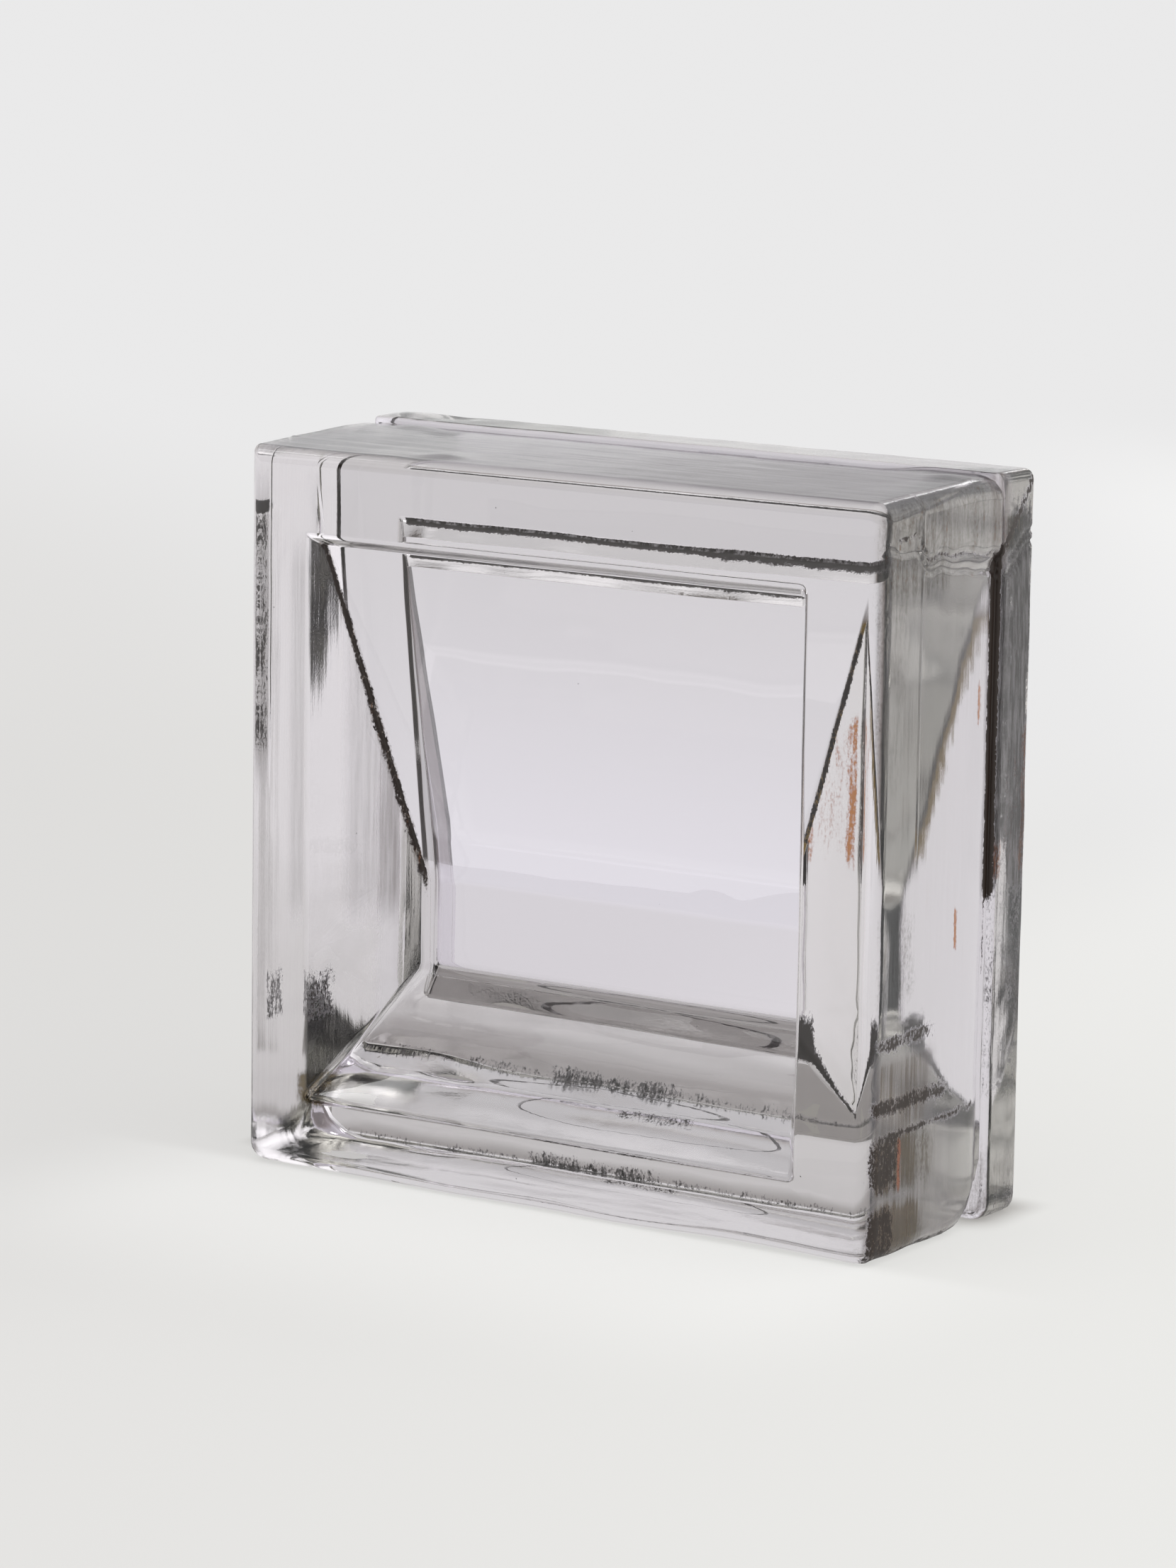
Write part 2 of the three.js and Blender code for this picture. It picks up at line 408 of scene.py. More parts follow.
# Lumps and dents: middle, reach along each axis, and height, all in mm.
LUMPS = (
    ((-67, 22, 145), (8, 7, 5), 0.55),
    ((-57, 24, 145), (6, 5, 5), -0.45),
    ((-58, 11, 145), (8, 6, 5), 0.60),
    ((-47, 4, 145), (8, 5, 5), -0.50),
    ((-31, -20, 144), (7, 5, 5), 0.60),
    ((64, 8, 145), (7, 6, 6), 0.60),
    ((14, 6, 0), (36, 14, 4), -0.45),
    ((-42, 16, 0), (12, 8, 4), 0.50),
)

# Where dirt and rust sit: x, y and z ranges in mm with y from the middle of the block, how far
# the patch fades out past them, and how much of the glass it covers.
DIRT_PATCHES = (
    ("right_back_border", (56.5, 62), (27.25, 28), (76, 131), (1, 0.15, 14), 0.64),
    ("right_back_border_edge", (62.5, 70.8), (27.25, 28), (70, 131), (2, 0.15, 14), 0.88),
    ("right_back_border_low", (56.5, 70.8), (27.25, 28), (24, 76), (1, 0.15, 4), 0.36),
    ("right_groove", (70.0, 73), (14.2, 16.1), (66, 127), (1, 0.4, 6), 1.00),
    ("right_groove_low", (70.0, 73), (14.6, 15.4), (50, 66), (1, 0.4, 3), 0.56),
    ("left_back_edge", (-73, -72.1), (27.0, 27.7), (92, 146), (0.2, 0.2, 6), 1.00),
    ("left_side_strip", (-73, -71), (-19.6, -15.4), (84, 127), (1, 0.9, 6), 0.44),
    ("left_side_bar", (-73, -71), (-21, -14.8), (129.4, 131.4), (1, 0.6, 0.5), 0.90),
    ("left_low_smudge", (-73, -71), (-14, -5), (28, 36), (1, 2, 3), 0.45),
    ("head_edge", (-56, 54.5), (26.1, 27.7), (125.0, 126.7), (0.5, 0.4, 0.3), 0.92),
    ("head_edge_right", (20, 54.5), (25.4, 27.7), (124.6, 126.9), (12, 0.5, 0.4), 0.62),
    ("back_foot", (-72, 72), (27.0, 28), (0.2, 0.8), (2, 0.2, 0.5), 0.38),
    ("back_foot_blob", (-22, 3), (27.0, 28), (0.3, 1.6), (10, 0.3, 1.6), 0.54),
    ("foot_blob", (-1, 13), (12.5, 14.5), (-1, 1), (6, 1.5, 2), 0.44),
    ("recess_corner", (-56.5, -54.5), (-27, -24.5), (15, 17.5), (1, 1, 1), 0.50),
    ("deep_corner", (43, 48), (4, 8), (33, 36), (1, 3, 10), 0.90),
    ("right_arc", (71, 73), (-24, -8), (40.5, 43), (1, 5, 1.5), 0.60),
    ("right_band", (71, 73), (-25, -2), (28.5, 30.5), (1, 6, 1.5), 0.66),
    ("right_band_low", (71, 73), (-24, 10), (24.0, 24.8), (1, 4, 1.0), 0.62),
    ("right_foot_upper", (71, 73), (-27, -19), (15, 23), (1, 5, 3), 0.60),
    ("right_foot_lower", (71, 73), (-27, -21), (1, 9), (1, 5, 4), 0.66),
    ("right_foot_edge", (69, 73), (-26, 8), (0.0, 1.5), (1, 4, 1.2), 0.60),
    ("collar_corner", (66.0, 73), (20.0, 28), (0, 4), (2, 3.0, 4), 0.42),
)
RUST_PATCHES = (
    ("right_collar", (72, 73), (25.2, 26.6), (70, 92), (1, 0.9, 10), 0.66),
    ("right_collar_haze", (72, 73), (20.0, 26.6), (72, 90), (1, 4, 12), 0.43),
    ("collar_edge", (71, 73), (16.4, 17.8), (68, 74), (1, 1.2, 3), 0.62),
    ("right_streak_1", (71, 73), (9.0, 9.9), (99, 105), (1, 0.7, 3), 0.85),
    ("right_streak_2", (71, 73), (1.6, 2.4), (57, 63), (1, 0.7, 3), 0.80),
    ("right_streak_3", (71, 73), (-17.4, -16.4), (14, 22), (1, 0.7, 3), 0.80),
    ("right_top", (70, 73), (6, 27), (133, 145), (1, 3, 4), 0.30),
    ("right_upper", (71, 73), (-25, 6), (128, 143), (1, 6, 6), 0.30),
)
# Brown stain, thinner than dirt, and the grey film of the worn sides.
STAIN_PATCHES = (
    ("right_upper", (71, 73), (-26, -8), (128, 141), (1, 12, 8), 0.50),
    ("right_upper_all", (71, 73), (-26, 14), (133, 143), (1, 3, 4), 0.42),
    ("right_collar_amber", (71, 73), (18, 23), (131, 136), (1, 2, 2), 0.80),
    ("recess_corner", (-58, -53), (-28, -23), (14, 19), (1.5, 2, 2), 0.80),
    ("right_front_edge", (70, 73), (-26, -20), (96, 130), (1, 5, 20), 0.34),
    ("right_low", (71, 73), (-13, -8), (16, 21), (1, 8, 8), 0.56),
    ("right_low_foot", (71, 73), (-15, -10), (3, 7), (1, 8, 5), 0.50),
    ("right_waist", (71, 73), (-24, -15), (52, 64), (1, 4, 6), 0.38),
    ("collar_foot", (66, 73), (16, 28), (0, 10), (1, 1, 10), 0.40),
)
FILM_PATCHES = (
    ("right_foot_upper", (71, 73), (-28, -13), (14.5, 23), (1, 6, 3), 1.35),
    ("right_foot_lower", (71, 73), (-28, -13), (0, 9), (1, 8, 4), 1.75),
    ("right_arcs", (71, 73), (-27, -9), (26, 37), (1, 7, 4), 1.00),
    ("right_foot_edge", (71, 73), (-28, 4), (0, 2), (1, 8, 7), 0.75),
    ("right_groove_top", (68, 73), (12, 17.5), (128, 145), (1.5, 1.5, 2), 0.80),
    ("left_strip", (-73, -71), (-19.6, -15.2), (84, 127), (1, 0.8, 14), 1.35),
    ("left_middle", (-73, -71), (2.0, 12), (52, 116), (1, 6, 10), 0.72),
)
# Dirt in the creases between a cheek and the pane or the sill: how far off the cheek it dies out,
# how far beyond the crease it comes in, and the heights between which the pane's crease has it.
CREASE_HALF = (0.4 * MM, 1.0 * MM)
CREASE_PAST = (-2.5 * MM, -0.5 * MM)
PANE_CREASE_FOOT = (68 * MM, 78 * MM)
PANE_CREASE_HEAD = (113 * MM, 119 * MM)
# How far along the cheek it reaches from the crease: least, how much more where it is deep, and
# the depths between which that comes.
PANE_CREASE_REACH = (5 * MM, 0, 0, 1)
SILL_CREASE_REACH = (1.8 * MM, 5 * MM, 10 * MM, 20 * MM)
LEFT_CREASE_REACH = (2.5 * MM, 5 * MM, 4 * MM, 16 * MM)
LEFT_CREASE_START = (1 * MM, 3 * MM)  # it starts this deep
# How much dirt, rust and stain the creases hold.
PANE_CREASE_DIRT = 0.70
SILL_CREASE_DIRT = 0.80
LEFT_CREASE_DIRT = 0.72
LEFT_CREASE_RUST = 0.5
LEFT_CREASE_STAIN = 0.8
RIGHT_SIDE = 70 * MM  # the lines of dirt on the right side lie past this
FOLD_DIRT = 0.50  # dirt in the wrinkle, with half the width of its line and its end by y
FOLD_DIRT_HALF = (0.2 * MM, 0.9 * MM)
FOLD_DIRT_END = 14 * MM
# A run of dirt on the collar: a point of it by y and z, its slope, and the y between which it is.
RUN = (16.5 * MM, 131 * MM, 1.15)
RUN_SPAN = (15.5 * MM, BACK - 0.5 * MM)
RUN_DIRT = 0.72
RUN_HALF = (0.6 * MM, 2.4 * MM)
# The film of the right side: all over, more up towards its head, and more at the front of its
# foot. And that of the top: all over, and more towards the right.
SIDE_FILM = (0.05, 0.30, 0.65)
SIDE_FILM_HEAD = (96 * MM, 122 * MM)
SIDE_FILM_FOOT = (20 * MM, 30 * MM)
SIDE_FILM_FRONT = (-8 * MM, 12 * MM)
TOP_FILM = (0.95, 0.5)
TOP_FILM_RIGHT = (-40 * MM, 60 * MM)


def smoothstep(value, start, end):
    t = min(1.0, max(0.0, (value - start) / (end - start)))
    return t * t * (3 - 2 * t)


def fade(value, start, end):
    """The share that is left of something that dies out between two values."""
    return 1 - smoothstep(value, start, end)


def patch_share(point, patches):
    """The greatest cover that the patches give at a point."""
    cover = 0.0
    for _, *ranges, fades, amount in patches:
        share = amount
        for value, (low, high), past in zip(point, ranges, fades):
            away = max(0, low * MM - value, value - high * MM)
            share *= fade(away, 0, past * MM)
        cover = max(cover, share)
    return cover


def crease_share(recess, side, edge, depth, point, reach):
    """How near a point of a recess is to the crease of one cheek and the pane or the sill."""
    if not 0 < depth < RECESS_DEPTH:
        return 0.0
    sides = recess_sides(recess, depth)
    away = sides["top"] - point.z if edge == "top" else point.z - sides["bottom"]
    least, more, start, end = reach
    reach = least + more * smoothstep(depth, start, end)
    near = fade(abs(point.x - sides[side]), *CREASE_HALF)
    return near * smoothstep(away, *CREASE_PAST) * fade(away, 0, reach)


def dirt_share(point):
    """Shares of dirt, of rust that goes with it, and of stain, at a point of the block."""
    depth = BACK - point.y
    pane = crease_share(BACK_RECESS, "right", "top", depth, point, PANE_CREASE_REACH)
    pane *= smoothstep(point.z, *PANE_CREASE_FOOT) * fade(point.z, *PANE_CREASE_HEAD)
    sill = crease_share(BACK_RECESS, "right", "bottom", depth, point, SILL_CREASE_REACH)
    depth = point.y - FRONT
    left = crease_share(FRONT_RECESS, "left", "top", depth, point, LEFT_CREASE_REACH)
    left *= smoothstep(depth, *LEFT_CREASE_START)
    creases = (PANE_CREASE_DIRT * pane, SILL_CREASE_DIRT * sill, LEFT_CREASE_DIRT * left)
    lines = 0.0
    start, end = RUN_SPAN
    if point.x > RIGHT_SIDE and point.y < FOLD_DIRT_END:
        off_fold = abs(point.z - fold_height(point.y) - fold_wander(point))
        lines = FOLD_DIRT * fade(off_fold, *FOLD_DIRT_HALF)
    elif point.x > RIGHT_SIDE and start < point.y < end:
        run_y, run_z, slope = RUN
        off_run = abs(point.z - run_z - (point.y - run_y) * slope)
        lines = RUN_DIRT * fade(off_run, *RUN_HALF)
    dirt = max(patch_share(point, DIRT_PATCHES), lines, *creases)
    rust = max(patch_share(point, RUST_PATCHES), LEFT_CREASE_RUST * left)
    stain = max(patch_share(point, STAIN_PATCHES), LEFT_CREASE_STAIN * left)
    return dirt, rust, stain


def film_share(point, upright, on_top):
    """Share of the grey film of wear, on the right side, on the top and in its patches."""
    x, y, z = point
    all_over, at_head, at_foot = SIDE_FILM
    side = all_over + at_head * smoothstep(z, *SIDE_FILM_HEAD)
    side += at_foot * fade(z, *SIDE_FILM_FOOT) * fade(y, *SIDE_FILM_FRONT)
    all_over, at_right = TOP_FILM
    top = all_over + at_right * smoothstep(x, *TOP_FILM_RIGHT)
    worn = max(top * on_top, side * upright * (x > 0))
    worn *= fade(y, COLLAR_FRONT - COLLAR_BLEND, COLLAR_FRONT + COLLAR_BLEND)
    return max(worn, patch_share(point, FILM_PATCHES))


# --- Waves and lumps --------------------------------------------------------------------------
def fold_height(y):
    """Height of the wrinkle on the upright sides at a depth of the block."""
    for (y0, z0), (y1, z1) in zip(FOLDS, FOLDS[1:]):
        if y <= y1 * MM:
            break
    return (z0 + (z1 - z0) * smoothstep(y, y0 * MM, y1 * MM)) * MM


def fold_wander(point):
    """How far the wrinkle strays up or down from its line at a point."""
    across, along, size = FOLD_WANDER
    return size * noise.noise(Vector((point.x / across, point.y / along, 1.3)))


def groove_fill(point):
    """How far a point of the groove is pushed out where glass has filled it, across and up."""
    if not SHOULDER_FRONT < point.y < COLLAR_FRONT + COLLAR_EDGE_R:
        return 0.0, 0.0
    if point.y > COLLAR_FRONT:
        from_edge = COLLAR_EDGE_R - point.y + COLLAR_FRONT
        sunk = COLLAR_EDGE_R - math.sqrt(COLLAR_EDGE_R**2 - from_edge**2)
        sunk_top = sunk
    else:
        along = min(1.0, (point.y - SHOULDER_FRONT) / SHOULDER)
        sunk = GROOVE_DEPTH * (1 - math.sqrt(1 - along**2))
        sunk_top = GROOVE_DEPTH_TOP * (1 - math.sqrt(1 - along**2))
    rise = FILL_RISE["right" if point.x > 0 else "left"]
    across = smoothstep(point.z, FILL_HEIGHT - rise, FILL_HEIGHT + rise / 2)
    across *= fade(point.z, FULL["top"] - CORNER_R, FULL["top"] - 0.5 * MM)
    across *= smoothstep(abs(point.x), *FILL_SIDES)
    up = smoothstep(point.x, *TOP_FILL) * fade(FULL["top"] - point.z, *TOP_FILL_REACH)
    up *= fade(point.x, *TOP_FILL_END)
    filled, filled_top = FILLED
    return filled * sunk * math.copysign(across, point.x), filled_top * sunk_top * up


def ripple(u, v, waves):
    """Height of waves that run along u."""
    across, along, size, seed = waves
    return size * noise.noise(Vector((u / along, v / across, seed)))


def wave_height(point, outer, upright, on_top):
    """How far the waves, folds, seam and lumps lift a point off its face."""
    x, y, z = point
    height = 0.0
    for length, size in WAVES:
        height += size * noise.noise(point / length)
    for length, size in SIDE_WAVES:
        height += size * noise.noise(point / length + SIDE_WAVES_PLACE) * outer
    across, along, size, _ = DRAG_WAVES
    upright_drag = size * noise.noise(Vector((x / across, y / across, z / along)))
    level_drag = ripple(x, y, DRAG_WAVES)
    height += (upright_drag + (level_drag - upright_drag) * on_top) * outer
    foot = fade(z, *FOOT_SPAN)
    height += (ripple(x, y, FOOT_WAVES) + ripple(x, y, UNDER_WAVES)) * foot
    for k, gap in enumerate(FOLD_GAPS):
        wander = fold_wander(point + Vector((0, FOLD_APART * k, 0)))
        fold = abs(z - fold_height(y) + gap * MM - wander)
        height -= FOLD_DEPTH * fade(fold, 0, FOLD_HALF) * outer * upright * (x > 0)
    seam = fade(abs(y - SEAM_Y), 0, SEAM_HALF) * smoothstep(z, *SEAM_START)
    height += SEAM_HEIGHT * seam * outer * upright
    low, high = SILL_SPAN
    if HALF_WIDTH - abs(x) > BORDER_LEAST and low < z < high:
        height += ripple(x, y + z, SILL_WAVES)
    for middle, reaches, size in LUMPS:
        away = math.hypot(*((c / MM - m) / r for c, m, r in zip(point, middle, reaches)))
        height += size * MM * fade(away, 0, 1) * outer
    return height


def weather(block):
    """Gives the faces their waves, and every point its share of mould-worn glass and of dirt."""
    mesh = block.data
    for name in SHARES:
        mesh.attributes.new(name, "FLOAT", "POINT")
    layers = [mesh.attributes[name].data for name in SHARES]
    moves = []
    for i, vertex in enumerate(mesh.vertices):
        x, y, z = vertex.co
        off_side = HALF_WIDTH - abs(x)
        outer = fade(min(off_side, z, FULL["top"] - z), *OUTSIDE_REACH)
        outer *= smoothstep(y - FRONT, *OUTSIDE_START)
        upright = fade(off_side, *UPRIGHT_REACH)
        on_top = fade(FULL["top"] - z, *TOP_REACH) * (1 - upright)
        worn = outer * fade(y, BACK - BACK_BRIGHT, BACK)
        film = outer * film_share(vertex.co, upright, on_top)
        for layer, share in zip(layers, (worn, on_top, film, *dirt_share(vertex.co))):
            layer[i].value = share
        move = vertex.normal * wave_height(vertex.co, outer, upright, on_top)
        across, up = groove_fill(vertex.co)
        moves.append(move + Vector((across, 0, up)))
    for vertex, move in zip(mesh.vertices, moves):
        vertex.co += move
    mesh.update()


# --- Modelling --------------------------------------------------------------------------------
def close_web(block):
    """Fills the tube's two open ends, which are the two faces of the web's upright strip."""
    for at_back in (False, True):
        bpy.ops.mesh.select_mode(type="EDGE")
        bpy.ops.mesh.select_all(action="DESELECT")
        mesh = bmesh.from_edit_mesh(block.data)
        for edge in mesh.edges:
            middle = (edge.verts[0].co.y + edge.verts[1].co.y) / 2
            if edge.is_boundary and (middle > (FRONT + BACK) / 2) == at_back:
                edge.select = True
        bmesh.update_edit_mesh(block.data)
        bpy.ops.mesh.fill_grid(span=SIDE_POINTS + CORNER_POINTS - 1)


def model_block():
    bpy.ops.object.select_all(action="DESELECT")
    loops = [loop_points(*loop) for loop in block_loops()]
    count = len(loops[0])
    bpy.ops.mesh.primitive_circle_add(vertices=count)
    block = bpy.context.object
    block.name = "pressed_glass_block"
    bpy.ops.object.mode_set(mode="EDIT")
    mesh = bmesh.from_edit_mesh(block.data)
    around = mesh.verts.layers.int.new("around")
    for i, vertex in enumerate(mesh.verts):
        vertex[around] = i
        vertex.co = loops[0][i]
    bmesh.update_edit_mesh(block.data)
    bpy.ops.mesh.select_all(action="SELECT")
    for points in loops[1:]:
        bpy.ops.mesh.extrude_region_move()
        mesh = bmesh.from_edit_mesh(block.data)
        around = mesh.verts.layers.int["around"]
        for vertex in mesh.verts:
            if vertex.select:
                vertex.co = points[vertex[around]]
        bmesh.update_edit_mesh(block.data)
    close_web(block)
    bpy.ops.mesh.select_all(action="SELECT")
    bpy.ops.mesh.normals_make_consistent(inside=False)
    bpy.ops.mesh.select_all(action="DESELECT")
    bpy.ops.object.mode_set(mode="OBJECT")
    bpy.ops.object.shade_smooth()
    block.data.attributes.remove(block.data.attributes["around"])
    weather(block)
    return block


# --- Surface of the glass ---------------------------------------------------------------------
# Soda-lime glass, and the faint colour that a length of it gives the light.
GLASS_IOR = 1.52
ABSORPTION = "#E5E5DE"
ABSORPTION_DENSITY = 16.0
CLEAR = "#F2EEF7"  # the faint lilac of its surface
SIDE_FILM_COLOUR = "#554433"
TOP_FILM_COLOUR = "#4D454D"
STAIN_COLOUR = "#453824"
CREASE_COLOUR = "#301D02"
RUST_COLOUR = "#9A4A1E"
# The dirt's colour is also that of the painted dark loops on the foot.
DIRT_COLOUR = "#261A12"

# Grains of the surface: how large one lump is in mm, its stretch, detail and roughness. A lump
# is longest along the axis with the smallest stretch.
GRAINS = {
    "sand": (0.45, (1, 1, 1), 4.0, 0.6),
    "upright_drag": (0.9, (1, 1, 0.05), 4.0, 0.55),
    "level_drag": (0.9, (0.05, 1, 1), 4.0, 0.55),
    "specks": (0.5, (1, 1, 0.6), 5.0, 0.7),
    "mottle": (2.6, (1, 1, 0.5), 6.0, 0.65),
    "runs": (1.1, (1, 1, 0.12), 6.0, 0.7),
    "teeth": (0.6, (0, 1, 0.03), 3.0, 0.5),
}
RELIEF = 0.012 * MM  # height of the mould's grain, which is too fine to be in the mesh
DRAG_OVER_SAND = 2.4  # drag lines stand this much higher than the sand grain
SPECKS_IN_BLOTS = 1.3  # blots of dirt are made of specks and mottle
MOTTLE_IN_BLOTS = 0.9
SPECKS_IN_STREAKS = 0.9  # rust and stain of runs and specks
# Share plus noise at which a cover starts and is full, and the share below which it thins out.
DIRT_COVER = (1.46, 1.70)
RUST_COVER = (1.34, 1.66)
STAIN_COVER = (1.10, 1.75)
NO_COVER = 0.15
BACK_RUNS = (0.38, 0.56)  # noise at which the dirt of the back face has run off, and not
BACK_RUNS_LEFT = 0.72  # share of it that is left where it has run off
BACK_FACE = (0.6 * MM, 0.3 * MM)  # it starts between these distances in front of the back
SEED_SPACING = 5.5 * MM  # seed bubbles, of which only the larger show
SEED_SIZE = 0.045
SEED_LEFT_OUT = 0.012
SEED_COVER = 0.8
# The saw-toothed band of stain along the back recess's right crease: noise at which a tooth is
# short and long, with its lengths; the blur of its end; the distances over which the band comes in
# at the crease and dies out off the cheek; and the heights at which it starts and ends.
TEETH = (0.35, 0.65, 4 * MM, 10 * MM)
TEETH_BLUR = 0.8 * MM
BAND_ABOVE = (-1.0 * MM, -0.2 * MM)
BAND_OFF_CHEEK = (0.5 * MM, 0.9 * MM)
BAND_FOOT = (66 * MM, 72 * MM)
BAND_HEAD = (116 * MM, 122 * MM)
# Painted dark loops on the foot, standing in for lines of refraction that its waves give: middle
# across and through the block, reach along each, and thickness, in mm.
PAINTED_LOOPS = ((-8, 21.0, 27, 4.2, 0.24), (6, 11.0, 30, 5.0, 0.10))
PAINTED_LOOP_WANDER = 1.2 * MM
PAINTED_LOOP_COVER = 0.9
PAINTED_LOOP_TOP = 2.5 * MM  # they are below this height
PAINTED_LOOP_BREAKS = (0.38, 0.52, 0.45)  # mottle at which a loop line is thin and full, and how thin
FILM_DRAG = (0.30, 0.70, 0.55)  # drag at which the film is thin and full, and how thin
FILM_EVEN_ON_TOP = 0.6  # on the top the film is nearer to an even level
FILM_LEVEL = 0.75
# How much of the light rust and film hold back, beside dirt, which holds back all, and how rough
# worn and covered glass is.
RUST_HIDES = 0.06
FILM_HIDES = 0.40
WORN_ROUGHNESS = 0.04
COVER_ROUGHNESS = 0.4


def crease_band(add, teeth, x, y, z):
    """Saw-toothed share of stain below the crease of the back recess's right cheek and pane."""
    depth = add("Math", SUBTRACT, BACK, y)
    head_depth = BACK_RECESS["head_depth"]
    head = recess_sides(BACK_RECESS, head_depth)["top"]
    fall = (head - recess_sides(BACK_RECESS, RECESS_DEPTH)["top"]) / (RECESS_DEPTH - head_depth)
    pane = add("Math", SUBTRACT, head + fall * head_depth, add("Math", MULTIPLY, depth, fall))
    below = add("Math", SUBTRACT, pane, z)
    cheek = mouth_sides()["right"]
    cheek = add("Math", SUBTRACT, cheek, add("Math", MULTIPLY, depth, CHEEK_SLOPE))
    off_cheek = add("Math", ABSOLUTE, add("Math", SUBTRACT, x, cheek))
    past_tooth = add("Math", SUBTRACT, below, add("MapRange", SMOOTH, teeth, *TEETH))
    band = add("MapRange", SMOOTH, past_tooth, 0.0, TEETH_BLUR, 1.0, 0.0)
    for share in (
        add("MapRange", SMOOTH, below, *BAND_ABOVE),
        add("MapRange", SMOOTH, off_cheek, *BAND_OFF_CHEEK, 1.0, 0.0),
        add("MapRange", SMOOTH, z, *BAND_FOOT),
        add("MapRange", SMOOTH, z, *BAND_HEAD, 1.0, 0.0),
        add("Math", LESS_THAN, depth, RECESS_DEPTH),
    ):
        band = add("Math", MULTIPLY, band, share)
    return band


def painted_loop_line(add, mark, mottle, x, y, z):
    """Share of painted dark line on one painted loop of the foot."""
    middle_x, middle_y, long, wide, thick = mark
    wander = add("Math", MULTIPLY, add("Math", SUBTRACT, mottle, 0.5), PAINTED_LOOP_WANDER)
    u = add("Math", DIVIDE, add("Math", SUBTRACT, x, middle_x * MM), long * MM)
    v = add("Math", SUBTRACT, add("Math", ADD, y, wander), middle_y * MM)
    v = add("Math", DIVIDE, v, wide * MM)
    squares = add("Math", ADD, add("Math", MULTIPLY, u, u), add("Math", MULTIPLY, v, v))
    off = add("Math", ABSOLUTE, add("Math", SUBTRACT, add("Math", SQRT, squares), 1.0))
    loop_line = add("MapRange", SMOOTH, off, 0.5 * thick / wide, thick / wide, 1.0, 0.0)
    loop_line = add("Math", MULTIPLY, loop_line, add("Math", LESS_THAN, z, PAINTED_LOOP_TOP))
    return add("Math", MULTIPLY, loop_line, add("MapRange", SMOOTH, mottle, *PAINTED_LOOP_BREAKS, 1.0))


